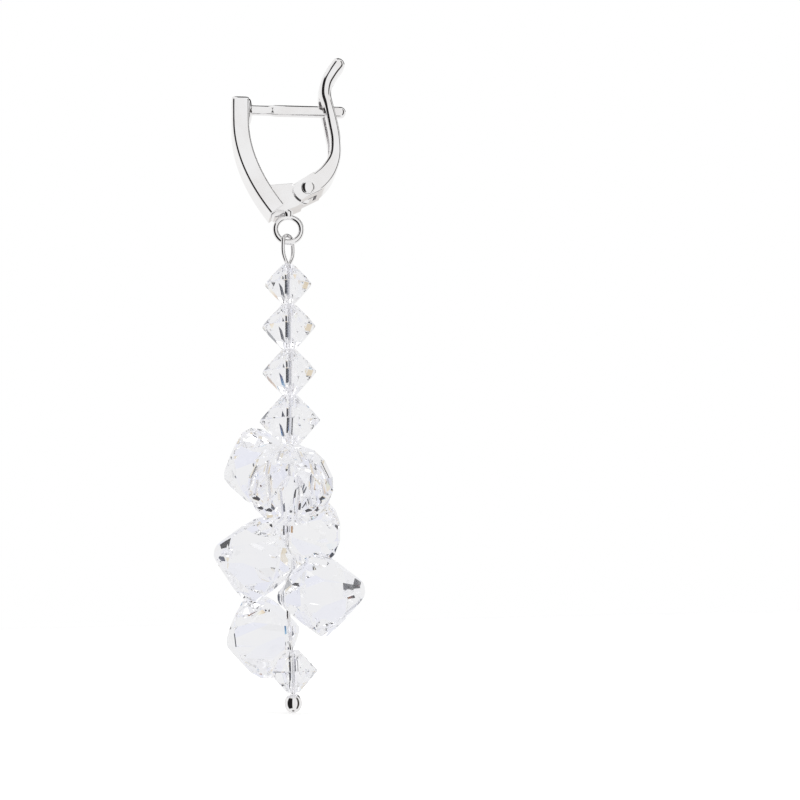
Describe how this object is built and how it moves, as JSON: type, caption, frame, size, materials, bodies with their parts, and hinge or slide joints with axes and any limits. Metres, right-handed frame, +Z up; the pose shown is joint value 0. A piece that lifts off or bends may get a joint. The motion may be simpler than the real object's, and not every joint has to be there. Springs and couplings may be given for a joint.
{
  "type": "leverback drop earring with a cluster of faceted crystal beads",
  "caption": "Leverback drop earring: a curved bar with ear post and hinged lever, and a wire strung with double-cone crystal beads in a column and a cluster.",
  "frame": {"origin": "the middle of the ear post, where the ear lobe hangs on it", "axes": "+Z up as the earring hangs, +X from the front bar back to the lever along the ear post, Y across the clasp along the hinge's axis"},
  "size_m": [0.0139, 0.0139, 0.0631],
  "materials": {
    "polished_silver": "mirror-polished rhodium-plated silver",
    "clear_crystal": "clear cut crystal with polished facets"
  },
  "bodies": {
    "clasp": {"clasp_frame": "polished_silver", "hinge_rivet": "polished_silver"},
    "lever": {"clasp_lever": "polished_silver"},
    "drop": {"drop_wire": "polished_silver", "small_bead_1": "clear_crystal", "small_bead_2": "clear_crystal", "small_bead_3": "clear_crystal", "small_bead_4": "clear_crystal", "large_bead_1": "clear_crystal", "large_bead_2": "clear_crystal", "large_bead_3": "clear_crystal", "large_bead_4": "clear_crystal", "large_bead_5": "clear_crystal", "large_bead_6": "clear_crystal", "end_bead": "clear_crystal"}
  },
  "joints": [
    {"name": "lever_hinge", "type": "hinge", "parent": "clasp", "child": "lever", "pos_m": [0.00185, 0, -0.0082], "axis": [0, 1, 0], "range_deg": [0, 80]},
    {"name": "drop_swing", "type": "hinge", "parent": "clasp", "child": "drop", "pos_m": [0.00006, 0, -0.0119], "axis": [0, 1, 0], "range_deg": [-60, 60]}
  ]
}
